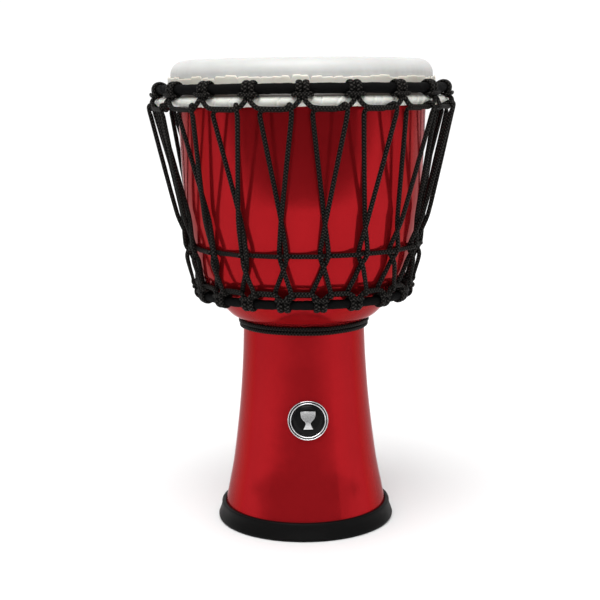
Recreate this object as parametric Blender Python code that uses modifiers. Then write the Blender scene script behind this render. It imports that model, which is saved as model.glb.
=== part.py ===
"""A small djembe: moulded shell, film head, cloth-wrapped rings and rope tuning.

Lengths are in millimetres and angles in degrees until a point or a mesh is made; MM turns them
into metres. The drum stands on z = 0 with its axis on Z. Its front, with the badge, faces -Y, and
an angle round the drum is counted from the front towards +X.
"""
from math import cos, pi, radians, sin

import bmesh
import bpy
from mathutils import Vector

MM = 0.001
GAP = 0.3

# Round pieces share one division, so that neighbouring facets stay parallel.
SEGMENTS = 40
BADGE_SEGMENTS = 24

# The ropes repeat once for each hitch on a ring.
HITCHES = 19
PITCH = 360.0 / HITCHES

# Shell outline, (radius, height), from the bowl's straight side down to the foot.
BOWL_OUTLINE = [(84.3, 310.6), (80.9, 232.0), (78.9, 214.0), (76.2, 198.0), (73.2, 184.0), (69.6, 172.0),
                (63.8, 162.0), (57.4, 153.6), (51.0, 146.6), (46.3, 143.4), (41.5, 141.3)]
STEM_OUTLINE = [(41.5, 141.3), (42.6, 113.0), (45.1, 81.0), (49.5, 45.0), (53.5, 23.5), (57.6, 3.0)]
WALL = 4.0

# Film head: playing surface, rounded shoulder, collar, fold round the flesh ring, trimmed edge.
HEAD_TOP = 316.0
COLLAR_RADIUS = 87.7
SHOULDER = 9.2
FILM = 0.5
COLLAR_BOTTOM = 291.0
TRIM_RADIUS = 89.0
TRIM_TOP = 304.6

# Rings: radius and height of the rod's centre line, radius over the cloth, radius of the bare rod.
FLESH_RING = (95.3, 289.0)
FLESH_ROD = 2.2
CROWN_RING = (95.8, 297.0)
CROWN_ROD = 2.1
CROWN_CLOTH = 3.15
BOTTOM_RING = (70.0, 161.0)
BOTTOM_ROD = 2.0
BOTTOM_CLOTH = 3.0
CLOTH = 0.5
CLOTH_SLIT = 24.0

# Rope sections, (width, thickness), where the rope is round, pulled flat over a ring, or squeezed.
ROUND = (3.0, 3.0)
FLAT = (3.9, 1.6)
SQUEEZED = (3.4, 0.9)
BAR = (2.6, 1.8)
STRAND = (2.5, 2.2)
CORNER = (2.0, 1.8)
TURN = (2.4, 1.8)
HOOK = (2.4, 1.4)
INNER_RUN = (2.4, 2.0)
WEAVE = (2.8, 2.7)
WAIST = (2.6, 2.3)

# Half the width of a loop between two hitches, how far the lower hitches stand round from the
# middle of each upper loop, and where the pairs of legs cross.
UPPER_LOOP = 5.8
LOWER_LOOP = 5.2
BOTTOM_TURN = -1.0
UPPER_CROSSING = 214.0
WEAVE_HEIGHT = 193.4
LOWER_CROSSING = 185.5
WEAVE_SPREAD = 1.85

# Nearly two turns round the waist: radius and height of each, and the turns between which it climbs.
WAIST_FIRST = (43.1, 137.5)
WAIST_LAST = (43.7, 140.5)
WAIST_START = 176.0
WAIST_TURNS = 1.89
WAIST_CLIMB = (0.91, 0.99)

# Foot ring and badge.
FOOT_RADIUS = 61.2
FOOT_HEIGHT = 12.1
FOOT_FLOOR = 2.7
FOOT_OPENING = 52.5
BADGE_HEIGHT = 79.6
BADGE_TURN = 2.5
BADGE_RADIUS = 13.2


# ---------------------------------------------------------------- scene and materials

def clear_scene():
    for obj in list(bpy.data.objects):
        bpy.data.objects.remove(obj, do_unlink=True)


def make_collection(name):
    collection = bpy.data.collections.new(name)
    bpy.context.scene.collection.children.link(collection)
    return collection


def make_material(name, colour, roughness, metallic=0.0):
    material = bpy.data.materials.new(name)
    material.use_nodes = True
    shader = material.node_tree.nodes["Principled BSDF"]
    shader.inputs["Base Color"].default_value = (*colour, 1.0)
    shader.inputs["Roughness"].default_value = roughness
    shader.inputs["Metallic"].default_value = metallic
    return material


def make_object(name, mesh, material):
    mesh.materials.append(material)
    obj = bpy.data.objects.new(name, mesh)
    bpy.data.collections["djembe"].objects.link(obj)
    return obj


# ---------------------------------------------------------------- outlines

def arc(centre, radius, start, end, steps):
    angles = [radians(start + (end - start) * step / steps) for step in range(steps + 1)]
    return [(centre[0] + radius * cos(a), centre[1] + radius * sin(a)) for a in angles]


def offset_inwards(outline, distance):
    """The outline moved to its left by a distance, seen along it from top to bottom."""
    moved = []
    for i, (radius, height) in enumerate(outline):
        before = outline[max(i - 1, 0)]
        after = outline[min(i + 1, len(outline) - 1)]
        along = Vector((after[0] - before[0], after[1] - before[1])).normalized()
        moved.append((radius + along.y * distance, height - along.x * distance))
    moved[-1] = (outline[-1][0] - distance, outline[-1][1])
    return moved


# ---------------------------------------------------------------- turned pieces

def turned(name, outline, material, closed=True, segments=SEGMENTS):
    """A profile of (radius, height) turned round Z; an outer side runs from top to bottom."""
    mesh = bpy.data.meshes.new(name)
    points = [(radius * MM, 0.0, height * MM) for radius, height in outline]
    edges = [(i, i + 1) for i in range(len(points) - 1)]
    if closed:
        edges.append((len(points) - 1, 0))
    mesh.from_pydata(points, edges, [])
    obj = make_object(name, mesh, material)
    screw = obj.modifiers.new("turn", "SCREW")
    screw.axis = "Z"
    screw.steps = segments
    screw.render_steps = segments
    screw.use_merge_vertices = True
    screw.merge_threshold = 0.00001
    return obj


def thicken(obj, thickness):
    solidify = obj.modifiers.new("thickness", "SOLIDIFY")
    solidify.thickness = thickness * MM
    solidify.offset = 0.0
    solidify.use_even_offset = True


def make_shell(material):
    edge_centre = (BOWL_OUTLINE[0][0] - WALL, BOWL_OUTLINE[0][1])
    bearing_edge = arc(edge_centre, WALL, 90, 0, 3)[:-1]
    side = BOWL_OUTLINE[:-1] + STEM_OUTLINE
    inside = offset_inwards(side, WALL)[1:]
    return turned("shell", bearing_edge + side + inside[::-1], material)


def make_head_film(material):
    half = FILM / 2
    shoulder_centre = (COLLAR_RADIUS - SHOULDER, HEAD_TOP - SHOULDER)
    fold_radius = FLESH_ROD + GAP + half
    trim_radius = TRIM_RADIUS - half
    outline = [(0.0, HEAD_TOP - half)]
    outline += arc(shoulder_centre, SHOULDER - half, 90, 0, 4)
    outline += [(COLLAR_RADIUS - half, COLLAR_BOTTOM)]
    outline += arc(FLESH_RING, fold_radius, 235, 450, 5)
    outline += [(trim_radius + 2.2, FLESH_RING[1] + fold_radius + 0.1)]
    outline += [(trim_radius, FLESH_RING[1] + fold_radius + 2.2), (trim_radius, TRIM_TOP)]
    film = turned("head_film", outline, material, closed=False)
    thicken(film, FILM)
    return film


def make_rod_ring(name, centre_line, rod, material):
    outline = arc(centre_line, rod, 330, -30, 6)[:-1]
    return turned(name, outline, material)


def make_cloth(name, centre_line, radius, slit_angle, material):
    """Cloth round a ring's rod, open along the seam where its edges meet."""
    start = slit_angle - CLOTH_SLIT / 2
    outline = arc(centre_line, radius - CLOTH / 2, start, start - 360 + CLOTH_SLIT, 7)
    cloth = turned(name, outline, material, closed=False)
    thicken(cloth, CLOTH)
    return cloth


def make_foot_ring(material):
    stem_low, stem_end = STEM_OUTLINE[-2], STEM_OUTLINE[-1]
    slope = (stem_end[0] - stem_low[0]) / (stem_end[1] - stem_low[1])
    lip = stem_end[0] + slope * (FOOT_HEIGHT - stem_end[1]) + GAP
    seat = stem_end[0] + slope * (FOOT_FLOOR - stem_end[1]) + GAP
    outline = [(lip + 0.6, FOOT_HEIGHT), (58.0, 11.3), (58.9, 9.4), (60.2, 5.2), (FOOT_RADIUS, 2.0),
               (FOOT_RADIUS - 0.4, 0.6), (FOOT_RADIUS - 1.2, 0.0), (FOOT_OPENING, 0.0),
               (FOOT_OPENING, FOOT_FLOOR), (seat, FOOT_FLOOR), (lip, FOOT_HEIGHT - 0.5)]
    return turned("foot_ring", outline, material)


# ---------------------------------------------------------------- ropes

def spot(angle, radius, height):
    """A point round the drum, in metres."""
    turn = radians(angle)
    return Vector((radius * sin(turn), -radius * cos(turn), height)) * MM


def outwards(angle, tilt=0.0):
    """The direction away from the axis at an angle, tilted upwards by a second one."""
    turn, lift = radians(angle), radians(tilt)
    return Vector((sin(turn) * cos(lift), -cos(turn) * cos(lift), sin(lift)))


def on_shell(angle, radius, height, section=ROUND, tilt=0.0):
    """A knot of a rope that runs over the drum's side: its point, outer side and section."""
    return spot(angle, radius, height), outwards(angle, tilt), section


def on_ring(ring, hitch_angle, along, tilt, distance, section):
    """A knot of a rope that runs round a ring's rod, at a tilt and a distance from its centre."""
    angle = hitch_angle + along / (ring[0] * pi / 180)
    radius = ring[0] + distance * cos(radians(tilt))
    height = ring[1] + distance * sin(radians(tilt))
    return spot(angle, radius, height), outwards(angle, tilt), section


def lofted_rope(name, knots, material, sides=5, closed=True):
    """A rope through its knots. Its section changes from round to flat, which a bevelled curve
    can't do, so its faces are laid between the sections."""
    mesh = bmesh.new()
    count = len(knots)
    rings = []
    for i, (point, outer, (width, thickness)) in enumerate(knots):
        before = knots[i - 1][0] if closed or i > 0 else point
        after = knots[(i + 1) % count][0] if closed or i < count - 1 else point
        along = ((after - point).normalized() + (point - before).normalized()).normalized()
        across = along.cross(outer).normalized()
        up = across.cross(along)
        ring = []
        for side in range(sides):
            turn = 2 * pi * (side + 0.5) / sides
            offset = across * (cos(turn) * width / 2) + up * (sin(turn) * thickness / 2)
            ring.append(mesh.verts.new(point + offset * MM))
        rings.append(ring)
    for i in range(count if closed else count - 1):
        ring, other = rings[i], rings[(i + 1) % count]
        for side in range(sides):
            follow = (side + 1) % sides
            mesh.faces.new((ring[side], ring[follow], other[follow], other[side]))
    if not closed:
        mesh.faces.new(rings[0])
        mesh.faces.new(rings[-1])
    bmesh.ops.recalc_face_normals(mesh, faces=mesh.faces)
    data = bpy.data.meshes.new(name)
    mesh.to_mesh(data)
    mesh.free()
    data.shade_smooth()
    return make_object(name, data, material)


def cow_hitch(ring, cloth, hitch_angle, flip, bar_end):
    """A cow hitch on a ring: in behind the bar, over the rod and back out through the bight.

    flip is 1 where the loops hang below the ring and -1 where they stand above it.
    """
    close = (cloth + FLAT[1] / 2) / cos(radians(30))
    under = cloth + 0.7 + SQUEEZED[1] / 2
    over = close + FLAT[1] / 2 + GAP + BAR[1] / 2
    half = [
        (2.3, -42, close, FLAT),
        (2.1, 18, close, FLAT),
        (2.1, 78, close, FLAT),
        (2.1, 138, close, FLAT),
        (2.4, 198, close + 0.2, FLAT),
        (3.4, 258, under, SQUEEZED),
        (bar_end, 324, over - 0.2, BAR),
    ]
    left = [on_ring(ring, hitch_angle, -along, flip * tilt, distance, section)
            for along, tilt, distance, section in half]
    right = [on_ring(ring, hitch_angle, along, flip * tilt, distance, section)
             for along, tilt, distance, section in reversed(half)]
    return left + right


def make_upper_cradle(material):
    knots = []
    for hitch in range(HITCHES):
        angle = hitch * PITCH
        knots += [on_shell(angle - 1.3, 100.8, 290.0, STRAND)]
        knots += cow_hitch(CROWN_RING, CROWN_CLOTH, angle, 1, 5.2)
        knots += [on_shell(angle + 1.3, 100.8, 290.0, STRAND),
                  on_shell(angle + 3.7, 101.0, 285.5, STRAND),
                  on_shell(angle + PITCH - 3.8, 100.6, 284.9, CORNER)]
    return lofted_rope("upper_cradle_rope", knots, material, sides=4)


def make_lower_cradle(material):
    knots = []
    for hitch in range(HITCHES):
        angle = (hitch + 0.5) * PITCH + BOTTOM_TURN
        knots += [on_shell(angle - 2.0, 73.3, 166.4, STRAND)]
        knots += cow_hitch(BOTTOM_RING, BOTTOM_CLOTH, angle, -1, 4.6)
        knots += [on_shell(angle + 2.0, 73.3, 166.4, STRAND),
                  on_shell(angle + 4.2, 73.4, 168.8, CORNER),
                  on_shell(angle + PITCH - 4.6, 73.4, 168.2, STRAND)]
    return lofted_rope("lower_cradle_rope", knots, material, sides=4)


def make_tuning_rope(material):
    """Up behind an upper loop's strand, out over it, and down under the next lower loop's."""
    knots = []
    for pair in range(HITCHES):
        middle = (pair + 0.5) * PITCH
        lower_left = middle + BOTTOM_TURN - PITCH / 2 + LOWER_LOOP
        lower_right = middle + BOTTOM_TURN + PITCH / 2 - LOWER_LOOP
        knots += [
            on_shell(lower_left, 70.4, 167.8, INNER_RUN),
            on_shell(middle - 2.3, 73.9, 178.2),
            on_shell(middle, 76.0, LOWER_CROSSING),
            on_shell(middle + WEAVE_SPREAD, 80.6, WEAVE_HEIGHT),
            on_shell(middle, 81.6, UPPER_CROSSING),
            on_shell(middle - UPPER_LOOP, 97.0, 280.6),
            on_shell(middle - UPPER_LOOP + 1.2, 96.2, 284.0, INNER_RUN),
            on_shell(middle + UPPER_LOOP - 3.0, 96.0, 284.0, INNER_RUN),
            on_shell(middle + UPPER_LOOP - 1.3, 98.5, 286.4, TURN, 60),
            on_shell(middle + UPPER_LOOP - 0.5, 101.5, 288.1, TURN, 60),
            on_shell(middle + UPPER_LOOP - 0.1, 103.4, 285.4, TURN),
            on_shell(middle + UPPER_LOOP, 101.2, 279.5),
            on_shell(middle, 85.0, UPPER_CROSSING),
            on_shell(middle - WEAVE_SPREAD, 77.3, WEAVE_HEIGHT),
            on_shell(middle, 79.4, LOWER_CROSSING),
            on_shell(lower_right, 75.9, 169.2, TURN),
            on_shell(lower_right + 0.3, 75.3, 167.0, HOOK, -40),
            on_shell(lower_right + 0.7, 73.2, 166.3, HOOK, -80),
            on_shell(lower_right + 1.6, 70.5, 167.0, INNER_RUN),
        ]
    return lofted_rope("tuning_rope", knots, material)


def make_weave_rope(material):
    """Round the drum once, over the left leg of each pair and under the right one."""
    knots = []
    for pair in range(HITCHES):
        middle = (pair + 0.5) * PITCH
        knots += [
            on_shell(middle - 1.7, 80.8, WEAVE_HEIGHT, WEAVE),
            on_shell(middle + 1.15, 76.9, WEAVE_HEIGHT, WEAVE),
            on_shell(middle + 5.0, 77.3, WEAVE_HEIGHT, WEAVE),
            on_shell(middle + 13.0, 77.8, WEAVE_HEIGHT, WEAVE),
        ]
    return lofted_rope("weave_row_rope", knots, material)


def make_waist_rope(material):
    count = int(WAIST_TURNS * SEGMENTS)
    knots = []
    for i in range(count + 1):
        share = i / count
        climbed = (share * WAIST_TURNS - WAIST_CLIMB[0]) / (WAIST_CLIMB[1] - WAIST_CLIMB[0])
        climb = max(0.0, min(1.0, climbed))
        radius = WAIST_FIRST[0] + (WAIST_LAST[0] - WAIST_FIRST[0]) * climb
        height = WAIST_FIRST[1] + (WAIST_LAST[1] - WAIST_FIRST[1]) * climb
        knots.append(on_shell(WAIST_START + share * WAIST_TURNS * 360, radius, height, WAIST))
    return lofted_rope("waist_rope", knots, material, closed=False)


# ---------------------------------------------------------------- badge

def stem_radius(height):
    for (upper, top), (lower, bottom) in zip(STEM_OUTLINE, STEM_OUTLINE[1:]):
        if bottom <= height <= top:
            return upper + (lower - upper) * (top - height) / (top - bottom)


def wrap_on_stem(obj):
    """Bend a flat piece, laid out in X and Y with its depth on Z, round the front of the stem."""
    mesh = bmesh.new()
    evaluated = obj.evaluated_get(bpy.context.evaluated_depsgraph_get())
    mesh.from_mesh(evaluated.to_mesh())
    for vert in mesh.verts:
        across, up, depth = vert.co / MM
        height = BADGE_HEIGHT + up
        surface = stem_radius(height)
        vert.co = spot(BADGE_TURN + across / surface * 180 / pi, surface + depth, height)
    bmesh.ops.recalc_face_normals(mesh, faces=mesh.faces)
    obj.modifiers.clear()
    mesh.to_mesh(obj.data)
    mesh.free()
    return obj


def badge_disc(name, outline, material, closed=False):
    return wrap_on_stem(turned(name, outline, material, closed=closed, segments=BADGE_SEGMENTS))


def make_badge(plate_metal, enamel, pad_foam):
    rim, ring = (12.4, BADGE_RADIUS), (10.6, 11.4)
    badge_disc("badge_pad", [(0, 0.6), (6, 0.6), (12.0, 0.6), (12.0, 0.3), (6, 0.3), (0, 0.3)], pad_foam)
    badge_disc("badge_plate",
               [(0, 1.2), (5, 1.2), (ring[0], 1.2), (ring[0], 2.3), (ring[1], 2.3), (ring[1], 1.2),
                (rim[0], 1.2), (rim[0], 2.3), (rim[1] - 0.3, 2.3), (rim[1], 2.0), (rim[1], 0.9),
                (7, 0.9), (0, 0.9)], plate_metal)
    field = ring[0] - GAP
    badge_disc("badge_field", [(0, 1.7), (5, 1.7), (field, 1.7), (field, 1.5), (5, 1.5), (0, 1.5)], enamel)
    groove = (ring[1] + GAP, rim[0] - GAP)
    badge_disc("badge_groove", [(groove[0], 1.9), (groove[1], 1.9), (groove[1], 1.5), (groove[0], 1.5)],
               enamel, closed=True)
    make_emblem(plate_metal)


def make_emblem(material):
    """A plain goblet outline: half a shape, mirrored, given thickness and bent with the badge."""
    half = [(0, 5.6), (4.3, 5.6), (3.9, 1.9), (1.4, -0.9), (1.3, -2.0), (2.7, -5.6), (0, -5.6)]
    mesh = bpy.data.meshes.new("badge_emblem")
    points = [(across * MM, up * MM, 2.2 * MM) for across, up in half]
    mesh.from_pydata(points, [], [tuple(range(len(points)))])
    emblem = make_object("badge_emblem", mesh, material)
    mirror = emblem.modifiers.new("mirror", "MIRROR")
    mirror.merge_threshold = 0.00001
    thicken(emblem, 0.4)
    return wrap_on_stem(emblem)


# ---------------------------------------------------------------- assembly

def group_tuning_travel(pieces):
    """The pieces that the ropes draw down the shell together, on an empty on the drum's axis."""
    travel = bpy.data.objects.new("tuning_travel", None)
    travel.location = (0.0, 0.0, CROWN_RING[1] * MM)
    travel.empty_display_size = 0.02
    bpy.data.collections["djembe"].objects.link(travel)
    bpy.context.view_layer.update()
    for piece in pieces:
        piece.parent = travel
        piece.matrix_parent_inverse = travel.matrix_world.inverted()


def build():
    clear_scene()
    make_collection("djembe")
    shell_red = make_material("gloss_red_shell", (0.34, 0.010, 0.015), 0.15)
    film_white = make_material("white_head_film", (0.80, 0.79, 0.75), 0.45)
    steel = make_material("ring_steel", (0.45, 0.45, 0.46), 0.35, 1.0)
    cloth_black = make_material("black_ring_cloth", (0.010, 0.010, 0.011), 0.85)
    rope_black = make_material("black_rope", (0.012, 0.011, 0.011), 0.80)
    rubber = make_material("black_foot_rubber", (0.012, 0.012, 0.012), 0.55)
    chrome = make_material("badge_chrome", (0.75, 0.75, 0.76), 0.20, 1.0)
    enamel = make_material("badge_enamel", (0.006, 0.006, 0.006), 0.25)
    foam = make_material("badge_foam", (0.30, 0.30, 0.30), 0.9)

    make_shell(shell_red)
    make_head_film(film_white)
    flesh_ring = make_rod_ring("flesh_ring", FLESH_RING, FLESH_ROD, steel)
    crown_core = make_rod_ring("crown_ring_core", CROWN_RING, CROWN_ROD, steel)
    crown_cloth = make_cloth("crown_ring_wrap", CROWN_RING, CROWN_CLOTH, 210, cloth_black)
    make_rod_ring("bottom_ring_core", BOTTOM_RING, BOTTOM_ROD, steel)
    make_cloth("bottom_ring_wrap", BOTTOM_RING, BOTTOM_CLOTH, 150, cloth_black)
    upper_cradle = make_upper_cradle(rope_black)
    make_lower_cradle(rope_black)
    make_tuning_rope(rope_black)
    make_weave_rope(rope_black)
    make_waist_rope(rope_black)
    make_foot_ring(rubber)
    make_badge(chrome, enamel, foam)
    group_tuning_travel([flesh_ring, crown_core, crown_cloth, upper_cradle])


build()
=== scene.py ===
"""Looks of the small djembe: fine shell, pleated film head, wrapped rings, braided ropes, badge."""
import math
import random

import bmesh
import bpy
import numpy as np
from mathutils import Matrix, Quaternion, Vector


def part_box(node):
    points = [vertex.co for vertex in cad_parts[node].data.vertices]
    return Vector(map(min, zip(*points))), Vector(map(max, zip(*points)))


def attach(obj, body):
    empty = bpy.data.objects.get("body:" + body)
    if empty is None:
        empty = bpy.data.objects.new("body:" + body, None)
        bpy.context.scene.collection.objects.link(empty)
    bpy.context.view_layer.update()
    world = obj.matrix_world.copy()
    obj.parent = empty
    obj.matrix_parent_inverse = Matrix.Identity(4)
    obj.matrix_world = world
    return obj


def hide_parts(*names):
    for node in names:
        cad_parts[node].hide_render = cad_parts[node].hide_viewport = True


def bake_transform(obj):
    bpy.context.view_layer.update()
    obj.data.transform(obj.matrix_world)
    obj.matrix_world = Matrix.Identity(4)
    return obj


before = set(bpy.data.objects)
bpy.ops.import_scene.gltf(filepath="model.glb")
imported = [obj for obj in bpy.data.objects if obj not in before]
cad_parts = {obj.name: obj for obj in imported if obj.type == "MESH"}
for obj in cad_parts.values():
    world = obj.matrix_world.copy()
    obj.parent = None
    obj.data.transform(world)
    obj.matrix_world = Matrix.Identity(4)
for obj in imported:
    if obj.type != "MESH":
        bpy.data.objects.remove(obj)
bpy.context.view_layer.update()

MM = 0.001
RNG = random.Random(20)

DRUM, HOOP = "drum", "tuning_hoop"

# The ropes repeat once for each hitch on a ring.
HITCHES = 19
PITCH = 360.0 / HITCHES


def box_mm(node):
    low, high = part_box(node)
    return np.array(low) / MM, np.array(high) / MM


def ring_of(node):
    """A ring's centre line (radius, height) and the radius of its section, from its CAD box."""
    low, high = box_mm(node)
    section = (high[2] - low[2]) / 2
    return (high[0] - section, (high[2] + low[2]) / 2), section


CROWN, CROWN_SECTION = ring_of("crown_ring_wrap")
BOTTOM, BOTTOM_SECTION = ring_of("bottom_ring_wrap")
FLESH, _ = ring_of("flesh_ring")
HEAD_TOP = box_mm("head_film")[1][2]
FOOT_HIGH = box_mm("foot_ring")[1]
BADGE_LOW, BADGE_HIGH = box_mm("badge_plate")


# ------------------------------------------------------------------ camera

CAMERA_PLACE = (-0.0025, -0.8601, 0.2945)
CAMERA_LENS = 75.7
CAMERA_DOWN = 9.34
CAMERA_ROLL = -0.58


def make_camera():
    """A long lens in front of the drum and a little above it, rolled slightly about its own axis."""
    camera = bpy.data.cameras.new("view")
    camera.lens = CAMERA_LENS
    obj = bpy.data.objects.new("view", camera)
    obj.location = CAMERA_PLACE
    obj.rotation_mode = "QUATERNION"
    pitch = Quaternion((1, 0, 0), math.radians(90 - CAMERA_DOWN))
    obj.rotation_quaternion = pitch @ Quaternion((0, 0, 1), math.radians(CAMERA_ROLL))
    bpy.context.scene.collection.objects.link(obj)
    bpy.context.scene.camera = obj


# ------------------------------------------------------------------ node materials

class Shader:
    """A material and short calls that add nodes to it."""

    def __init__(self, name):
        self.material = bpy.data.materials.new(name)
        self.material.use_nodes = True
        self.tree = self.material.node_tree
        self.principled = self.tree.nodes["Principled BSDF"]

    def node(self, kind, inputs=None, **settings):
        made = self.tree.nodes.new(kind)
        for key, value in settings.items():
            setattr(made, key, value)
        for key, value in (inputs or {}).items():
            self.put(made.inputs[key], value)
        return made

    def put(self, socket, value):
        if isinstance(value, bpy.types.NodeSocket):
            self.tree.links.new(value, socket)
        else:
            socket.default_value = value

    def set(self, **values):
        for key, value in values.items():
            self.put(self.principled.inputs[key.replace("_", " ")], value)

    def math(self, operation, a, b=0.0):
        made = self.node("ShaderNodeMath", operation=operation)
        self.put(made.inputs[0], a)
        self.put(made.inputs[1], b)
        return made.outputs[0]

    def place(self):
        return self.node("ShaderNodeTexCoord").outputs["Object"]

    def uv(self):
        uv_map = self.node("ShaderNodeUVMap")
        split = self.node("ShaderNodeSeparateXYZ", {"Vector": uv_map.outputs["UV"]})
        return split.outputs["X"], split.outputs["Y"]

    def noise(self, scale, detail=3.0, vector=None):
        made = self.node("ShaderNodeTexNoise", {"Scale": scale, "Detail": detail})
        self.put(made.inputs["Vector"], vector or self.place())
        return made.outputs["Fac"]

    def range(self, value, low, high, to_low, to_high):
        made = self.node("ShaderNodeMapRange")
        for index, item in enumerate((value, low, high, to_low, to_high)):
            self.put(made.inputs[index], item)
        return made.outputs[0]

    def mix(self, factor, a, b):
        made = self.node("ShaderNodeMix", data_type="RGBA")
        for socket, item in (("Factor", factor), ("A", a), ("B", b)):
            named = [s for s in made.inputs if s.name == socket]
            target = named[0] if socket == "Factor" else [s for s in named if s.type == "RGBA"][0]
            self.put(target, item)
        return [s for s in made.outputs if s.type == "RGBA"][0]

    def bump(self, height, distance, strength=1.0):
        made = self.node("ShaderNodeBump",
                         {"Height": height, "Distance": distance, "Strength": strength})
        self.put(self.principled.inputs["Normal"], made.outputs["Normal"])


def shell_material():
    """Deep red lacquer over metallic flake: reflections take its red, with faint mottle and waves."""
    s = Shader("gloss_red")
    mottle = s.range(s.noise(24.0, 4.0), 0.3, 0.7, 0.0, 1.0)
    s.set(Base_Color=s.mix(mottle, (0.335, 0.0095, 0.0130, 1), (0.360, 0.0105, 0.0145, 1)))
    s.set(Metallic=0.6, Specular_Tint=(0.45, 0.02, 0.03, 1))
    s.set(Roughness=s.range(s.noise(160.0), 0.3, 0.7, 0.10, 0.15), Specular_IOR_Level=0.15)
    s.bump(s.noise(220.0, 2.0), 0.00008, 0.2)
    return s.material


def shell_inside_material():
    s = Shader("shell_inside")
    grain = s.noise(300.0, 5.0)
    s.set(Base_Color=s.mix(grain, (0.020, 0.018, 0.018, 1), (0.045, 0.040, 0.040, 1)), Roughness=0.75)
    s.bump(grain, 0.0004, 0.6)
    return s.material


def film_material(name, light, dark, roughness, shaded_to=0.0):
    """Coated film: fine fibre-like speckle and a soft, slightly uneven white. Painted shade
    browns it up to the height shaded_to, in metres, for the shade under the crown ring."""
    s = Shader(name)
    cloud = s.noise(38.0, 5.0)
    white = s.mix(s.range(cloud, 0.35, 0.65, 0.0, 1.0), dark, light)
    # Painted shade: below shaded_to the colour fades to dark brown, standing in for the crown ring's
    # shadow.
    height = s.node("ShaderNodeSeparateXYZ", {"Vector": s.place()}).outputs["Z"]
    above_painted_shade = s.range(height, shaded_to - 0.0008, shaded_to, 0.0, 1.0)
    s.set(Base_Color=s.mix(above_painted_shade, (0.030, 0.020, 0.013, 1), white))
    s.set(Roughness=s.range(s.noise(500.0), 0.3, 0.7, roughness - 0.05, roughness + 0.07))
    s.set(Specular_IOR_Level=0.45, Subsurface_Weight=0.12, Subsurface_Scale=0.002)
    s.bump(s.noise(900.0, 3.0), 0.00006, 0.5)
    return s.material


# The braid: strands in each direction round the rope, and mm along it from one to the next.
BRAID_STRANDS = 3.0
BRAID_STEP = 2.1


def rope_material():
    """Braided rope: two sets of strands cross over and under, from the length and the turn."""
    s = Shader("braided_rope")
    along, around = s.uv()
    turns = s.math("MULTIPLY", around, BRAID_STRANDS)
    steps = s.math("DIVIDE", along, BRAID_STEP)
    first = s.math("ADD", turns, steps)
    second = s.math("SUBTRACT", turns, steps)
    first_part = s.math("FRACT", first)
    second_part = s.math("FRACT", second)
    cells = s.math("ADD", s.math("FLOOR", first), s.math("FLOOR", second))
    over = s.math("PINGPONG", cells, 1.0)
    hump_a = s.math("SINE", s.math("MULTIPLY", first_part, math.pi))
    hump_b = s.math("SINE", s.math("MULTIPLY", second_part, math.pi))
    soft_a = s.math("ADD", s.math("MULTIPLY", hump_a, 0.35), 0.65)
    soft_b = s.math("ADD", s.math("MULTIPLY", hump_b, 0.35), 0.65)
    strand_a = s.math("MULTIPLY", hump_a, soft_b)
    strand_b = s.math("MULTIPLY", hump_b, soft_a)
    gap = s.math("SUBTRACT", strand_b, strand_a)
    braid = s.math("ADD", strand_a, s.math("MULTIPLY", gap, over))
    fibres = s.noise(2600.0, 2.0)
    # Painted light: the colour is lightened on the tops of the strands as a painted highlight and taken
    # near black between them as painted shade.
    light = s.math("POWER", s.range(braid, 0.4, 1.0, 0.0, 1.0), 2.0)
    s.set(Base_Color=s.mix(light, (0.0004, 0.0004, 0.0004, 1), (0.048, 0.044, 0.040, 1)))
    s.set(Roughness=s.range(fibres, 0.3, 0.7, 0.45, 0.65), Specular_IOR_Level=0.05)
    s.bump(s.math("ADD", braid, s.math("MULTIPLY", fibres, 0.25)), 0.00035, 1.0)
    return s.material


# How fast the tape's weave goes up and down: radians to each mm of its length.
TAPE_THREADS = 9.0


def cloth_material():
    """Black tape: a fine over-and-under weave that runs with the wrapping."""
    s = Shader("ring_tape")
    along, around = s.uv()
    forward = s.math("ADD", along, s.math("MULTIPLY", around, 6.0))
    back = s.math("SUBTRACT", along, s.math("MULTIPLY", around, 14.0))
    warp = s.math("SINE", s.math("MULTIPLY", forward, TAPE_THREADS))
    weft = s.math("SINE", s.math("MULTIPLY", back, TAPE_THREADS))
    weave = s.math("MULTIPLY", warp, weft)
    fuzz = s.noise(1500.0, 4.0)
    worn = s.range(fuzz, 0.3, 0.7, 0.0, 1.0)
    s.set(Base_Color=s.mix(worn, (0.0015, 0.0015, 0.0017, 1), (0.0045, 0.0043, 0.0043, 1)))
    s.set(Roughness=s.range(weave, -1.0, 1.0, 0.68, 0.85), Specular_IOR_Level=0.06)
    s.bump(s.math("ADD", weave, fuzz), 0.0001, 0.6)
    return s.material


def rubber_material():
    s = Shader("foot_rubber")
    speckle = s.noise(700.0, 4.0)
    s.set(Base_Color=s.mix(speckle, (0.0025, 0.0025, 0.0025, 1), (0.0050, 0.0048, 0.0048, 1)))
    s.set(Roughness=s.range(s.noise(60.0), 0.3, 0.7, 0.42, 0.55), Specular_IOR_Level=0.06)
    s.bump(speckle, 0.00012, 0.4)
    return s.material


def metal_material(name, colour, roughness):
    s = Shader(name)
    grain = s.noise(1200.0, 3.0)
    darker = tuple(0.86 * c for c in colour)
    s.set(Base_Color=s.mix(grain, (*darker, 1), (*colour, 1)), Metallic=1.0)
    s.set(Roughness=s.range(grain, 0.3, 0.7, roughness - 0.04, roughness + 0.06))
    s.bump(grain, 0.00004, 0.4)
    return s.material


def enamel_material():
    s = Shader("badge_enamel")
    speckle = s.noise(800.0, 2.0)
    s.set(Base_Color=s.mix(speckle, (0.0025, 0.0025, 0.003, 1), (0.005, 0.005, 0.005, 1)))
    s.set(Roughness=s.range(speckle, 0.3, 0.7, 0.18, 0.28), Specular_IOR_Level=0.12)
    s.bump(speckle, 0.00003, 0.3)
    return s.material


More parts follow.
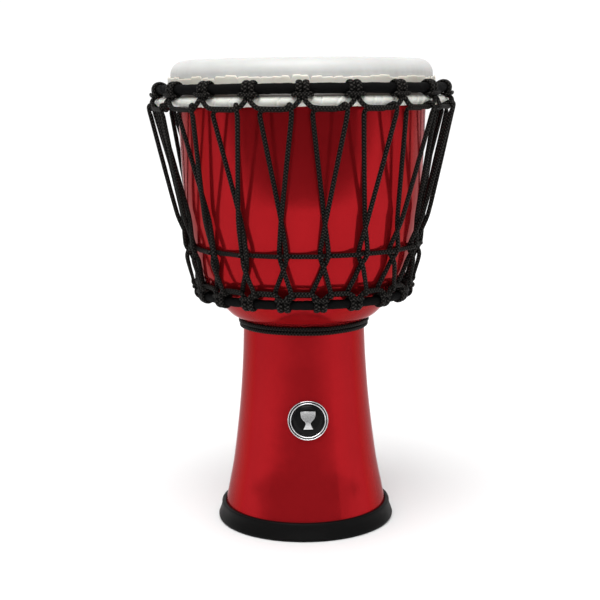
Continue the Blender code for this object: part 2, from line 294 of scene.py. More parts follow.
def foam_material():
    s = Shader("badge_foam")
    cells = s.noise(1400.0, 3.0)
    s.set(Base_Color=s.mix(cells, (0.22, 0.22, 0.22, 1), (0.34, 0.34, 0.34, 1)), Roughness=0.9)
    s.bump(cells, 0.0002, 0.6)
    return s.material


# The floor's distances in front of the drum, in metres, where it is fully grey and fully pale.
FLOOR_GREY_FROM, FLOOR_PALE_FROM = -1.25, -0.80


def floor_material():
    """A pale floor that falls off to grey well in front of the drum, for its gloss to reflect."""
    s = Shader("pale_floor")
    depth = s.node("ShaderNodeSeparateXYZ", {"Vector": s.place()}).outputs["Y"]
    wander = s.range(s.noise(3.0), 0.3, 0.7, -0.02, 0.02)
    shade = s.range(s.math("ADD", depth, wander), FLOOR_GREY_FROM, FLOOR_PALE_FROM, 0.0, 1.0)
    s.set(Base_Color=s.mix(shade, (0.10, 0.10, 0.10, 1), (0.88, 0.88, 0.88, 1)), Roughness=0.75)
    return s.material


# ------------------------------------------------------------------ mesh helpers

def grid_piece(name, points, materials, wrap_along=False, wrap_around=True, uv=None, kinds=None):
    """A mesh from a grid of points in mm, (along, around, 3). uv holds lengths along and shares
    around; kinds gives a material number for each row of faces."""
    rows, columns = points.shape[:2]
    last_row = rows if wrap_along else rows - 1
    last_column = columns if wrap_around else columns - 1
    row, column = np.meshgrid(np.arange(last_row), np.arange(last_column), indexing="ij")
    next_row, next_column = (row + 1) % rows, (column + 1) % columns
    faces = np.stack([row * columns + column, row * columns + next_column,
                      next_row * columns + next_column, next_row * columns + column], axis=-1)
    mesh = bpy.data.meshes.new(name)
    mesh.from_pydata((points.reshape(-1, 3) * MM).tolist(), [], faces.reshape(-1, 4).tolist())
    for material in materials:
        mesh.materials.append(material)
    if kinds is not None:
        numbers = np.repeat(kinds[:last_row], last_column).astype(np.int32)
        mesh.polygons.foreach_set("material_index", numbers)
    if uv is not None:
        along, around = uv
        corners = np.empty((last_row, last_column, 4, 2), np.float32)
        for corner, (down, right) in enumerate(((0, 0), (0, 1), (1, 1), (1, 0))):
            corners[:, :, corner, 0] = along[row + down]
            corners[:, :, corner, 1] = around[column + right]
        mesh.uv_layers.new(name="UVMap").data.foreach_set("uv", corners.ravel())
    mesh.shade_smooth()
    obj = bpy.data.objects.new(name, mesh)
    bpy.context.scene.collection.objects.link(obj)
    return obj


def direction(angle, rise):
    """A unit vector away from the drum's axis, at an angle from the front (-Y) towards +X and
    rising above the level by rise, in degrees."""
    turn, lift = math.radians(angle), math.radians(rise)
    return (math.sin(turn) * math.cos(lift), -math.cos(turn) * math.cos(lift), math.sin(lift))


def turn_points(outline, angles):
    """(radius, height) pairs turned to each angle, counted from the front (-Y) towards +X."""
    outline = np.asarray(outline, float)
    turn = np.radians(angles)
    radius, height = outline[:, :1], outline[:, 1:]
    return np.stack([radius * np.sin(turn), -radius * np.cos(turn), height + 0 * turn], axis=-1)


def turned_piece(name, outline, materials, segments=200, kinds=None):
    points = turn_points(outline + outline[:1], np.arange(segments) * 360.0 / segments)
    return grid_piece(name, points[:-1], materials, wrap_along=True, kinds=kinds)


def arc(centre, radius, start, end, steps):
    angles = np.radians(np.linspace(start, end, steps + 1))
    return [(centre[0] + radius * math.cos(a), centre[1] + radius * math.sin(a)) for a in angles]


def smooth(points, per_span):
    """Points of a Catmull-Rom curve through the given ones."""
    ends = [points[0]] + points + [points[-1]]
    curve = []
    for a, b, c, d in zip(ends, ends[1:], ends[2:], ends[3:]):
        a, b, c, d = (np.array(p) for p in (a, b, c, d))
        for t in np.arange(per_span) / per_span:
            curve.append(tuple(0.5 * (2 * b + (c - a) * t + (2 * a - 5 * b + 4 * c - d) * t ** 2
                                      + (3 * b - a - 3 * c + d) * t ** 3)))
    return curve + [points[-1]]


def offset_inwards(outline, distance):
    outline = np.array(outline)
    along = np.gradient(outline, axis=0)
    along /= np.linalg.norm(along, axis=1)[:, None]
    return [tuple(p) for p in outline + np.stack([along[:, 1], -along[:, 0]], axis=1) * distance]


# ------------------------------------------------------------------ shell and foot

BOWL_OUTLINE = [(84.3, 310.6), (80.9, 232.0), (78.9, 214.0), (76.2, 198.0), (73.2, 184.0),
                (69.6, 172.0), (63.8, 162.0), (57.4, 153.6), (51.0, 146.6), (46.3, 143.4),
                (41.5, 141.3)]
STEM_OUTLINE = [(41.5, 141.3), (42.6, 113.0), (45.1, 81.0), (49.5, 45.0), (53.5, 23.5), (57.6, 3.0)]
WALL = 4.0
FOOT_OPENING = 52.5
FOOT_LIP = 55.9


def make_shell(gloss, inside):
    bowl, stem = smooth(BOWL_OUTLINE, 6), smooth(STEM_OUTLINE, 6)
    edge = arc((BOWL_OUTLINE[0][0] - WALL, BOWL_OUTLINE[0][1]), WALL, 90, 0, 8)[:-1]
    outer = bowl[:-1] + stem
    inner = offset_inwards(outer, WALL)[1::2]
    inner[-1] = (outer[-1][0] - WALL, outer[-1][1])
    kinds = np.array([0] * (len(edge) + len(outer)) + [1] * len(inner))
    shell = turned_piece("shell_fine", edge + outer + inner[::-1], [gloss, inside], kinds=kinds)
    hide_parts("shell")
    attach(shell, DRUM)


def make_foot(rubber):
    top, radius = FOOT_HIGH[2], FOOT_HIGH[0]
    outline = [(FOOT_LIP, top - 0.4), (FOOT_LIP + 0.4, top)]
    outline += arc((57.6, top - 1.3), 1.3, 80, 5, 5)
    outline += smooth([(58.9, 9.6), (59.5, 6.8), (60.6, 3.8), (radius, 2.2)], 3)[1:]
    outline += arc((radius - 1.6, 1.6), 1.6, -5, -90, 6)
    outline += [(FOOT_OPENING + 0.6, 0.0), (FOOT_OPENING, 0.6), (FOOT_OPENING, 2.4), (57.8, 2.7)]
    foot = turned_piece("foot_ring_fine", outline, [rubber])
    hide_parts("foot_ring")
    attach(foot, DRUM)


# ------------------------------------------------------------------ head film

COLLAR_RADIUS = 87.5
SHOULDER = 9.3
TRIM_RADIUS = 88.8
TRIM_TOP = 304.6
FOLD = 2.85
FILM_THICKNESS = 0.35
FILM_STEPS = 900


def pleat_angles(rng, low, high):
    """Angles of the film's pleats, unevenly spaced all the way round."""
    angles, angle = [], rng.uniform(0, high)
    while angle < 360 - low / 2:
        angles.append(angle)
        angle += rng.uniform(low, high)
    return angles


def nearest(angles, pleats):
    """For each angle, the signed distance in degrees to its nearest pleat and the pleat's number."""
    gaps = (angles[:, None] - np.array(pleats)[None, :] + 180) % 360 - 180
    index = np.abs(gaps).argmin(axis=1)
    return gaps[np.arange(len(angles)), index], index


def make_film(white, fold, cream):
    rng = random.Random(7)
    angles = np.arange(FILM_STEPS) * 360.0 / FILM_STEPS
    top = HEAD_TOP - 0.2
    shoulder = arc((COLLAR_RADIUS - SHOULDER, top - SHOULDER), SHOULDER, 90, 0, 12)
    surface = [(r, top) for r in (0.01, 0.1, 0.4, 2.0, 15.0, 30.0, 45.0, 60.0, 70.0)] + shoulder
    collar = [(COLLAR_RADIUS, z) for z in (303.0, 301.5, 299.0, 296.0, 293.0, 290.5)]
    fold_turns = np.radians(np.linspace(-130, 95, 22))
    trim_low = (TRIM_RADIUS, 294.4)
    trim = [(TRIM_RADIUS, z) for z in np.linspace(296.0, TRIM_TOP, 9)]
    outline = surface + collar
    fold_start = len(outline)
    outline += [(FLESH[0] + FOLD * math.cos(a), FLESH[1] + FOLD * math.sin(a)) for a in fold_turns]
    fold_end = len(outline)
    outline += [(92.2, 292.0), (90.0, 292.6), trim_low] + trim
    points = turn_points(outline, angles)
    radial = np.stack([np.sin(np.radians(angles)), -np.cos(np.radians(angles)), 0 * angles], axis=-1)

    # Each hitch squeezes the fold down; between hitches it bulges up against the crown ring.
    from_hitch = np.abs((angles + PITCH / 2) % PITCH - PITCH / 2)
    squeeze = np.exp(-(from_hitch / 2.6) ** 4)
    folds = pleat_angles(rng, 3.0, 8.0)
    slants = np.array([rng.uniform(-0.12, 0.12) for _ in folds])
    depths = np.array([rng.uniform(0.4, 1.0) for _ in folds])
    steps = np.array([rng.uniform(-0.16, 0.16) for _ in folds])
    for row in range(fold_start, fold_end):
        turn = fold_turns[row - fold_start]
        gap, index = nearest(angles - math.degrees(turn) * 0.012, folds)
        gap = gap + slants[index] * math.degrees(turn) / 40
        dip, swell = np.exp(-(gap / 0.36) ** 2), np.exp(-((gap - 0.7) / 0.4) ** 2)
        crease = -depths[index] * dip + 0.5 * depths[index] * swell
        offset = crease + steps[index] * np.tanh(gap * 2)
        points[row] += radial * (offset * max(0.0, math.cos(turn)))[:, None]
        points[row, :, 2] += offset * math.sin(turn) * 0.6
        points[row, :, 2] -= squeeze * 0.5 * max(0.0, math.sin(turn)) ** 0.7

    # The trimmed edge stands in tabs of uneven height between its pleats.
    tabs = pleat_angles(rng, 4.0, 11.0)
    heights = np.array([rng.uniform(-1.0, 0.7) for _ in tabs])
    leans = np.array([rng.uniform(-0.20, 0.55) for _ in tabs])
    slopes = np.array([rng.uniform(-0.05, 0.05) for _ in tabs])
    notches = np.array([rng.choice((0.0, 0.8, 1.8, 3.0)) for _ in tabs])
    tab_start = fold_end + 3
    for row in range(tab_start, len(outline)):
        share = (row - tab_start + 1) / (len(outline) - tab_start)
        gap, _ = nearest(angles, tabs)
        index = (np.searchsorted(tabs, angles) - 1) % len(tabs)
        rise = heights[index] + slopes[index] * gap * 3
        notch = notches[nearest(angles, tabs)[1]] * np.exp(-(gap / 0.45) ** 2)
        points[row, :, 2] += (rise - notch) * share ** 2
        overlap = leans[index] + 0.35 * np.exp(-((gap - 0.4) / 0.5) ** 2)
        points[row] += radial * (overlap * min(1.0, 2 * share))[:, None]

    # Faint vertical wrinkles run down the collar from the shoulder.
    waves = ((23, 0.4), (37, 1.9), (61, 4.0), (97, 2.2))
    wrinkle = sum(np.cos(np.radians(angles) * count + phase) for count, phase in waves) / len(waves)
    shoulder_start = len(surface) - 8
    for row in range(shoulder_start, fold_start):
        share = min(1.0, (row - shoulder_start) / 9)
        points[row] += radial * (wrinkle * 0.16 * share)[:, None]

    kinds = np.array([0] * fold_start + [1] * (fold_end - fold_start) + [2] * (len(outline) - fold_end))
    film = grid_piece("head_film_fine", points, [white, fold, cream], kinds=kinds)
    solidify = film.modifiers.new("thickness", "SOLIDIFY")
    solidify.thickness = FILM_THICKNESS * MM
    solidify.offset = 0.0
    apply_modifiers(film)
    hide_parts("head_film")
    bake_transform(film)


def apply_modifiers(obj):
    graph = bpy.context.evaluated_depsgraph_get()
    mesh = bpy.data.meshes.new_from_object(obj.evaluated_get(graph))
    obj.modifiers.clear()
    obj.data = mesh


# ------------------------------------------------------------------ wrapped rings

def make_wrap(name, node, centre, section, body, cloth, turns, rise):
    """Cloth tape wound round a ring's rod: each turn laps over the last with a low step."""
    segments, around = 900, 28
    angles = np.arange(segments) * 360.0 / segments
    sides = np.arange(around) / around
    turn = np.radians(angles)[:, None]
    lap = (angles[:, None] / 360.0 * turns + sides[None, :]) % 1.0
    ripple = 0.05 * np.sin(turn * 41 + 3 * np.sin(turn * 7))
    tilt = 2 * math.pi * sides[None, :]
    weave = 0.05 * np.sin(tilt * 3 + turn * 90)
    thickness = section - 0.12 + rise * lap + ripple + weave
    radius = centre[0] + thickness * np.cos(tilt)
    height = centre[1] + thickness * np.sin(tilt)
    points = np.stack([radius * np.sin(turn), -radius * np.cos(turn), height], axis=-1)
    length = np.append(np.radians(angles) * centre[0], 2 * math.pi * centre[0])
    wrap = grid_piece(name, points, [cloth], wrap_along=True, uv=(length, np.append(sides, 1.0)))
    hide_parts(node)
    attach(wrap, body)


# ------------------------------------------------------------------ ropes

ROUND = (3.1, 3.0)
FLAT = (4.1, 2.2)
SQUEEZED = (3.8, 1.1)
BAR = (2.9, 2.2)
STRAND = (3.1, 2.6)
CORNER = (2.7, 2.3)
TURN = (3.0, 2.3)
INNER_RUN = (2.8, 2.3)
WEAVE = (3.0, 2.9)
WAIST = (2.8, 2.5)


def on_shell(angle, radius, height, section=ROUND, tilt=0.0):
    """A knot of a rope over the drum's side: point, outer side and section, in mm."""
    turn = math.radians(angle)
    point = np.array([radius * math.sin(turn), -radius * math.cos(turn), height])
    return point, np.array(direction(angle, tilt)), np.array(section, float)


def on_ring(ring, hitch_angle, along, tilt, distance, section):
    angle = hitch_angle + math.degrees(along / ring[0])
    radius = ring[0] + distance * math.cos(math.radians(tilt))
    height = ring[1] + distance * math.sin(math.radians(tilt))
    return on_shell(angle, radius, height, section, tilt)


def unit(vectors):
    return vectors / np.linalg.norm(vectors, axis=-1, keepdims=True)


def rope_piece(name, knots, material, closed=True, step=0.75, sides=16):
    """A rope through its knots: straight where it is taut, rounded where it turns."""
    points = np.array([k[0] for k in knots])
    outers = np.array([k[1] for k in knots])
    sections = np.array([k[2] for k in knots])
    count = len(knots)
    spans = count if closed else count - 1
    ahead = np.roll(points, -1, axis=0) - points
    behind = np.roll(ahead, 1, axis=0)
    if not closed:
        ahead[-1], behind[0] = behind[-1], ahead[0]
    lengths_ahead, lengths_behind = np.linalg.norm(ahead, axis=1), np.linalg.norm(behind, axis=1)
    pull = np.minimum(lengths_ahead, lengths_behind) * 1.05
    tangents = unit(unit(ahead) + unit(behind)) * pull[:, None]
    path, outer, section = [], [], []
    for i in range(spans):
        j = (i + 1) % count
        pieces = max(3, int(math.ceil(lengths_ahead[i] / step)))
        t = (np.arange(pieces) / pieces)[:, None]
        path.append((2 * t ** 3 - 3 * t ** 2 + 1) * points[i] + (t ** 3 - 2 * t ** 2 + t) * tangents[i]
                    + (3 * t ** 2 - 2 * t ** 3) * points[j] + (t ** 3 - t ** 2) * tangents[j])
        ease = t * t * (3 - 2 * t)
        outer.append(outers[i] * (1 - ease) + outers[j] * ease)
        section.append(sections[i] * (1 - ease) + sections[j] * ease)
    if not closed:
        path.append(points[-1:])
        outer.append(outers[-1:])
        section.append(sections[-1:])
    path, outer, section = np.concatenate(path), np.concatenate(outer), np.concatenate(section)
    along = unit(np.roll(path, -1, axis=0) - np.roll(path, 1, axis=0))
    if not closed:
        along[0], along[-1] = unit(path[1] - path[0]), unit(path[-1] - path[-2])
    across = unit(np.cross(along, outer))
    up = np.cross(across, along)
    turn = np.arange(sides) * 2 * math.pi / sides
    sideways = np.cos(turn)[None, :, None] * section[:, None, :1] / 2
    upwards = np.sin(turn)[None, :, None] * section[:, None, 1:] / 2
    rings = path[:, None, :] + across[:, None, :] * sideways + up[:, None, :] * upwards
    if not closed:
        rings = round_ends(rings, path, along, section)
    moves = np.linalg.norm(np.diff(rings.mean(axis=1), axis=0), axis=1)
    travelled = np.concatenate([[0.0], np.cumsum(moves)])
    travelled = np.append(travelled, travelled[-1] + step)
    shares = np.append(np.arange(sides) / sides, 1.0)
    rope = grid_piece(name, rings, [material], wrap_along=closed, uv=(travelled, shares))
    if not closed:
        cap_ends(rope, sides)
    return rope


def round_ends(rings, path, along, section):
    """Adds shrinking rings past each end, for a heat-sealed, rounded rope end."""
    extra_start, extra_end = [], []
    for share in (0.35, 0.65, 0.88, 0.98):
        shrink, push = math.sqrt(1 - share ** 2), share * section[0, 1] * 0.4
        extra_start.insert(0, path[0] + (rings[0] - path[0]) * shrink - along[0] * push)
        extra_end.append(path[-1] + (rings[-1] - path[-1]) * shrink + along[-1] * push)
    return np.concatenate([np.array(extra_start), rings, np.array(extra_end)])


def cap_ends(rope, sides):
    mesh = bmesh.new()
    mesh.from_mesh(rope.data)
    mesh.verts.ensure_lookup_table()
    mesh.faces.new(mesh.verts[:sides])
    mesh.faces.new(mesh.verts[-sides:])
    bmesh.ops.recalc_face_normals(mesh, faces=mesh.faces)
    mesh.to_mesh(rope.data)
    mesh.free()


def finish_rope(node):
    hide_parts(node)


def cow_hitch(ring, cloth, hitch_angle, flip, bar_end, jitter):
    """A cow hitch on a ring: in behind the bar, over the rod, round and out through the bight."""
    close = cloth + FLAT[1] / 2 - 0.05
    under = cloth + SQUEEZED[1] / 2 + 0.25
    over = cloth + FLAT[1] + BAR[1] / 2 - 0.1
    half = [
        (2.2, -58, close + 0.1, (3.4, 2.2)),
        (2.1, -25, close, FLAT),
        (2.1, 20, close, FLAT),
        (2.1, 65, close, FLAT),
        (2.1, 110, close, FLAT),
        (2.2, 160, close, FLAT),
        (2.6, 210, close - 0.1, FLAT),
        (3.6, 258, under, SQUEEZED),
        (bar_end - 0.2, 300, under + 0.9, (3.0, 1.9)),
        (bar_end - 0.6, 325, over - 0.5, BAR),
    ]
    knots = []
    for side, order in ((-1, half), (1, half[::-1])):
        if side == 1:
            knots.append(on_ring(ring, hitch_angle, jitter[2], flip * -35, over + 0.15, BAR))
        for along, tilt, distance, section in order:
            moved, turned = side * along + jitter[0], flip * (tilt + jitter[1])
            knots.append(on_ring(ring, hitch_angle, moved, turned, distance, section))
    return knots


UPPER_LOOP = 5.8
LOWER_LOOP = 5.2
BOTTOM_TURN = -1.0
UPPER_CROSSING = 214.0
WEAVE_HEIGHT = 193.4
LOWER_CROSSING = 185.5
WEAVE_SPREAD = 1.75


def hitch_jitter():
    return RNG.uniform(-0.35, 0.35), RNG.uniform(-3.0, 3.0), RNG.uniform(-0.4, 0.4)


def make_upper_cradle(material):
    knots = []
    for hitch in range(HITCHES):
        angle, jitter = hitch * PITCH, hitch_jitter()
        sag = RNG.uniform(-0.25, 0.25)
        knots += [on_shell(angle - 1.9, 101.1, 287.7 + sag, STRAND),
                  on_shell(angle - 0.95, 100.9, 290.0 + sag, STRAND)]
        knots += cow_hitch(CROWN, CROWN_SECTION, angle, 1, 5.4, jitter)
        knots += [on_shell(angle + 0.95, 100.9, 290.0 + sag, STRAND),
                  on_shell(angle + 1.9, 101.1, 287.7 + sag, STRAND),
                  on_shell(angle + 3.5, 101.1, 285.6 + sag, STRAND),
                  on_shell(angle + 5.6, 100.9, 285.0 + sag, STRAND),
                  on_shell(angle + 10.0, 100.8, 284.8 + sag, STRAND),
                  on_shell(angle + PITCH - 5.4, 100.7, 284.7 + sag, STRAND),
                  on_shell(angle + PITCH - 3.6, 100.7, 285.3 + sag, CORNER)]
    rope = rope_piece("upper_cradle_fine", knots, material)
    finish_rope("upper_cradle_rope")
    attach(rope, HOOP)


def make_lower_cradle(material):
    knots = []
    for hitch in range(HITCHES):
        angle, jitter = (hitch + 0.5) * PITCH + BOTTOM_TURN, hitch_jitter()
        rise = RNG.uniform(-0.25, 0.25)
        knots += [on_shell(angle - 3.2, 73.8, 167.2 + rise, STRAND),
                  on_shell(angle - 1.8, 74.0, 165.7 + rise, STRAND)]
        knots += cow_hitch(BOTTOM, BOTTOM_SECTION, angle, -1, 4.3, jitter)
        knots += [on_shell(angle + 1.8, 74.0, 165.7 + rise, STRAND),
                  on_shell(angle + 3.2, 73.8, 167.2 + rise, STRAND),
                  on_shell(angle + 4.8, 73.6, 168.4 + rise, CORNER),
                  on_shell(angle + 8.0, 73.4, 168.6 + rise, STRAND),
                  on_shell(angle + PITCH - 5.2, 73.5, 168.3 + rise, STRAND)]
    rope = rope_piece("lower_cradle_fine", knots, material)
    finish_rope("lower_cradle_rope")
    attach(rope, DRUM)


def make_tuning_rope(material):
    """Up behind an upper loop's strand, out over it, and down under the next lower loop's."""
    knots = []
    for pair in range(HITCHES):
        middle = (pair + 0.5) * PITCH
        lower_left = middle + BOTTOM_TURN - PITCH / 2 + LOWER_LOOP
        lower_right = middle + BOTTOM_TURN + PITCH / 2 - LOWER_LOOP
        shift = RNG.uniform(-0.25, 0.25)
        high = UPPER_CROSSING + RNG.uniform(-2.0, 2.0)
        row = WEAVE_HEIGHT + RNG.uniform(-0.3, 0.3)
        knots += [
            on_shell(lower_left - 0.4, 70.6, 167.6, INNER_RUN),
            on_shell(lower_left + 0.3, 71.4, 170.4, ROUND),
            on_shell(middle - 2.3, 73.8, 178.2),
            on_shell(middle + shift, 75.9, LOWER_CROSSING),
            on_shell(middle + WEAVE_SPREAD, 80.1, row),
            on_shell(middle + shift, 81.8, high),
            on_shell(middle - UPPER_LOOP, 97.0, 281.0),
            on_shell(middle - UPPER_LOOP + 0.5, 96.8, 283.4, INNER_RUN),
            on_shell(middle - UPPER_LOOP + 2.0, 96.6, 284.3, INNER_RUN),
            on_shell(middle + UPPER_LOOP - 3.0, 96.6, 284.3, INNER_RUN),
            on_shell(middle + UPPER_LOOP - 1.4, 98.4, 286.4, TURN, 50),
            on_shell(middle + UPPER_LOOP - 0.7, 100.8, 287.8, TURN, 70),
            on_shell(middle + UPPER_LOOP - 0.3, 102.6, 286.6, TURN, 30),
            on_shell(middle + UPPER_LOOP, 102.7, 284.2, TURN),
            on_shell(middle + UPPER_LOOP, 101.4, 280.0),
            on_shell(middle + shift, 85.1, high),
            on_shell(middle - WEAVE_SPREAD, 77.3, row),
            on_shell(middle + shift, 79.3, LOWER_CROSSING),
            on_shell(lower_right, 75.9, 170.4, TURN),
            on_shell(lower_right + 0.2, 75.9, 168.0, TURN, -15),
            on_shell(lower_right + 0.5, 74.9, 166.6, TURN, -50),
            on_shell(lower_right + 1.0, 73.2, 166.1, TURN, -80),
            on_shell(lower_right + 1.8, 70.9, 167.2, INNER_RUN),
        ]
    rope = rope_piece("tuning_rope_fine", knots, material, step=0.8)
    finish_rope("tuning_rope")
    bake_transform(rope)


def make_weave(material):
    """Round the drum once, over the left leg of each pair and under the right one."""
    knots = []
    for pair in range(HITCHES):
        middle = (pair + 0.5) * PITCH
        lift = RNG.uniform(-0.3, 0.3)
        knots += [
            on_shell(middle - 2.9, 80.0, WEAVE_HEIGHT + lift, WEAVE),
            on_shell(middle - 1.5, 80.4, WEAVE_HEIGHT + lift, WEAVE),
            on_shell(middle + 1.2, 77.0, WEAVE_HEIGHT, WEAVE),
            on_shell(middle + 5.0, 77.2, WEAVE_HEIGHT - 0.3, WEAVE),
            on_shell(middle + 11.0, 77.6, WEAVE_HEIGHT - 0.3, WEAVE),
        ]
    rope = rope_piece("weave_row_fine", knots, material)
    finish_rope("weave_row_rope")
    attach(rope, DRUM)


def make_waist(material):
    """Nearly two turns round the waist; both ends are at the back."""
    first, last, start, turns, count = (43.1, 137.5), (43.8, 140.5), 176.0, 1.89, 90
    knots = []
    for i in range(count + 1):
        travelled = i / count * turns
        climb = max(0.0, min(1.0, (travelled - 0.91) / 0.08))
        climb = climb * climb * (3 - 2 * climb)
        radius, height = (a + (b - a) * climb for a, b in zip(first, last))
        wobble = 0.12 * math.sin(travelled * 19) + 0.08 * math.sin(travelled * 43)
        knots.append(on_shell(start + travelled * 360, radius, height + wobble, WAIST))
    rope = rope_piece("waist_rope_fine", knots, material, closed=False)
    finish_rope("waist_rope")
    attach(rope, DRUM)


# ------------------------------------------------------------------ badge

BADGE_CENTRE = 79.6
BADGE_TURN = 2.5


def stem_radius(height):
    stem = np.array(smooth(STEM_OUTLINE, 6))[::-1]
    return np.interp(height, stem[:, 1], stem[:, 0])


def wrap_on_stem(across, up, depth):
    """Bends flat badge places, in mm, round the front of the stem."""
    height = BADGE_CENTRE + up
    surface = stem_radius(height)
    turn = math.radians(BADGE_TURN) + across / surface
    radius = surface + depth
    return np.stack([radius * np.sin(turn), -radius * np.cos(turn), height], axis=-1)


def badge_disc(name, node, outline, material, segments=120):
    """A turned (radius, depth) outline with a closed middle, bent round the stem."""
    outline = np.array(outline, float)
    turn = np.arange(segments) * 2 * math.pi / segments
    across = outline[:, :1] * np.cos(turn)
    up = outline[:, :1] * np.sin(turn)
    points = wrap_on_stem(across, up, outline[:, 1:] + 0 * turn)
    disc = grid_piece(name, points[::-1], [material], wrap_along=True)
    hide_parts(node)
    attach(disc, DRUM)


def bead(inner, outer, floor, top):
    """A rounded raised ring between two radii."""
    middle, half = (inner + outer) / 2, (outer - inner) / 2
    return [(middle - half * math.cos(a), floor + (top - floor) * math.sin(a) ** 0.6)
            for a in np.linspace(0.02, math.pi - 0.02, 9)]


def make_badge(chrome, enamel, foam):
    radius = (BADGE_HIGH[2] - BADGE_LOW[2]) / 2
    rim, ring = (12.4, radius), (10.8, 11.8)
    small = 0.01
    pad = [(small, 0.7), (6, 0.7), (12.0, 0.7), (12.0, 0.05), (6, 0.05), (small, 0.05)]
    badge_disc("badge_pad_fine", "badge_pad", pad, foam)
    plate = [(small, 1.3), (5, 1.3)] + bead(*ring, 1.3, 2.35) + bead(*rim, 1.3, 2.35)
    plate += [(radius - 0.1, 0.8), (7, 0.75), (small, 0.75)]
    badge_disc("badge_plate_fine", "badge_plate", plate, chrome)
    edge = ring[0] - 0.05
    field = [(small, 1.75), (4, 1.75), (7, 1.75), (edge, 1.7), (edge, 1.4), (small, 1.4)]
    badge_disc("badge_field_fine", "badge_field", field, enamel)
    inner, outer = ring[1] + 0.05, rim[0] - 0.05
    groove = [(inner, 1.85), (outer, 1.85), (outer, 1.4), (inner, 1.4)]
    badge_disc("badge_groove_fine", "badge_groove", groove, enamel)
    make_emblem(chrome)


def make_emblem(chrome):
    """A plain goblet outline with a bevelled edge, bent with the badge."""
    half = [(4.6, 5.9), (4.5, 3.9), (3.9, 1.6), (2.4, -0.3), (1.5, -1.4), (1.7, -3.0), (2.9, -5.7)]
    side = smooth(half, 5)
    outline = side + [(-x, y) for x, y in side[::-1]]
    curve = bpy.data.curves.new("badge_emblem_fine", "CURVE")
    curve.dimensions = "2D"
    curve.fill_mode = "BOTH"
    curve.extrude = 0.18 * MM
    curve.bevel_depth = 0.14 * MM
    curve.bevel_resolution = 2
    spline = curve.splines.new("POLY")
    spline.points.add(len(outline) - 1)
    for point, (x, y) in zip(spline.points, outline):
        point.co = (x * MM, y * MM, 0.0, 1.0)
    spline.use_cyclic_u = True
    drawn = bpy.data.objects.new("badge_emblem_fine", curve)
    bpy.context.scene.collection.objects.link(drawn)
    mesh = bpy.data.meshes.new_from_object(drawn.evaluated_get(bpy.context.evaluated_depsgraph_get()))
    bpy.data.objects.remove(drawn)
    emblem = bpy.data.objects.new("badge_emblem_fine", mesh)
    bpy.context.scene.collection.objects.link(emblem)
    places = np.array([v.co for v in mesh.vertices]) / MM
    bent = wrap_on_stem(places[:, 0], places[:, 1], places[:, 2] + 2.05)
    mesh.vertices.foreach_set("co", (bent * MM).ravel())
    mesh.materials.clear()
    mesh.materials.append(chrome)
    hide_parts("badge_emblem")
    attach(emblem, DRUM)


# ------------------------------------------------------------------ light and floor

def area_light(name, place, aim, size, power, colour=(1, 1, 1)):
    light = bpy.data.lights.new(name, "AREA")
    light.shape = "RECTANGLE"
    light.size, light.size_y = size
    light.energy = power
    light.color = colour
    obj = bpy.data.objects.new(name, light)
    obj.location = place
    obj.rotation_euler = (Vector(aim) - Vector(place)).to_track_quat("-Z", "Y").to_euler()
    bpy.context.scene.collection.objects.link(obj)


SKY_FRONT, SKY_BACK = 0.32, 1.05


def make_world():
    """A sky that is white behind the drum and dim in front of it, so the gloss stays deep red."""
    world = bpy.data.worlds.new("studio")
    bpy.context.scene.world = world
    world.use_nodes = True
    nodes, links = world.node_tree.nodes, world.node_tree.links
    split = nodes.new("ShaderNodeSeparateXYZ")
    links.new(nodes.new("ShaderNodeTexCoord").outputs["Generated"], split.inputs["Vector"])
    strength = nodes.new("ShaderNodeMapRange")
    links.new(split.outputs["Y"], strength.inputs[0])
    for index, value in enumerate((0.1, 0.85, SKY_FRONT, SKY_BACK), start=1):
        strength.inputs[index].default_value = value
    links.new(strength.outputs[0], nodes["Background"].inputs["Strength"])
    nodes["Background"].inputs["Color"].default_value = (1, 1, 1, 1)


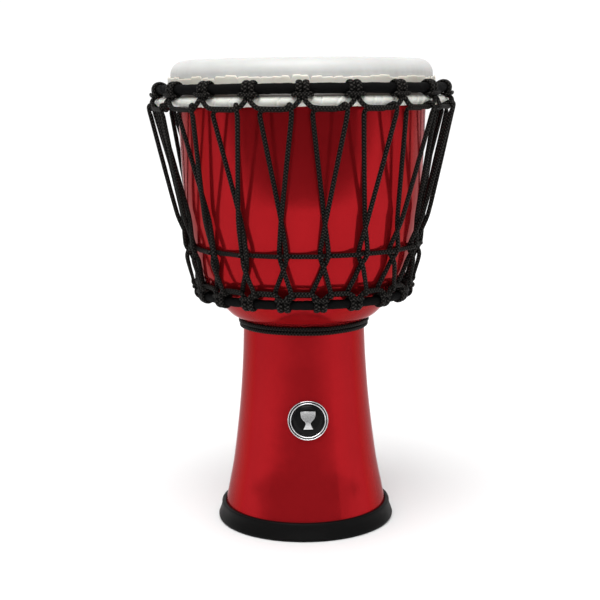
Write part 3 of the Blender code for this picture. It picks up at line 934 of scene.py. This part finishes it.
def sun_light(name, rise, turn, angle, power):
    """A far light that rises above the level and turns from the front towards +X, in degrees."""
    light = bpy.data.lights.new(name, "SUN")
    light.energy, light.angle = power, math.radians(angle)
    obj = bpy.data.objects.new(name, light)
    obj.rotation_euler = Vector(direction(turn, rise)).to_track_quat("Z", "Y").to_euler()
    bpy.context.scene.collection.objects.link(obj)


def make_studio():
    bpy.context.scene.view_settings.view_transform = "Standard"
    make_world()
    middle = (0, 0, 0.18)
    sun_light("key_top", 70, -12, 50, 3.0)
    area_light("front_fill", (0.05, -1.6, 0.8), middle, (1.2, 0.7), 4)
    area_light("side_left", (-1.0, -0.45, 0.45), middle, (0.5, 1.0), 0.2)
    area_light("side_right", (1.0, -0.55, 0.45), middle, (0.5, 1.0), 0.6)
    bpy.ops.mesh.primitive_plane_add(size=8)
    floor = bpy.context.object
    floor.name = "floor"
    floor.data.materials.append(floor_material())


# ------------------------------------------------------------------ everything

def dress_cad_node(node, material):
    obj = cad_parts[node]
    obj.data.materials.clear()
    obj.data.materials.append(material)


def main():
    make_camera()
    make_studio()
    steel = metal_material("ring_steel", (0.46, 0.46, 0.47), 0.35)
    chrome = metal_material("badge_chrome", (0.80, 0.80, 0.81), 0.18)
    rope = rope_material()
    cloth = cloth_material()
    make_shell(shell_material(), shell_inside_material())
    make_foot(rubber_material())
    # The fold is a lighter copy of the same film as the top, painted light against the shade under the
    # crown ring; the cream trim carries painted shade below 0.2955 m.
    make_film(film_material("film_white", (0.66, 0.650, 0.634, 1), (0.61, 0.600, 0.583, 1), 0.42),
              film_material("film_fold_painted_light", (0.88, 0.860, 0.800, 1), (0.78, 0.755, 0.690, 1), 0.3),
              film_material("film_cream", (0.86, 0.82, 0.74, 1), (0.74, 0.69, 0.60, 1), 0.4, 0.2955))
    for node in ("flesh_ring", "crown_ring_core", "bottom_ring_core"):
        dress_cad_node(node, steel)
    make_wrap("crown_wrap_fine", "crown_ring_wrap", CROWN, CROWN_SECTION, HOOP, cloth, 22, 0.34)
    make_wrap("bottom_wrap_fine", "bottom_ring_wrap", BOTTOM, BOTTOM_SECTION, DRUM, cloth, 17, 0.30)
    make_upper_cradle(rope)
    make_lower_cradle(rope)
    make_tuning_rope(rope)
    make_weave(rope)
    make_waist(rope)
    make_badge(chrome, enamel_material(), foam_material())


main()
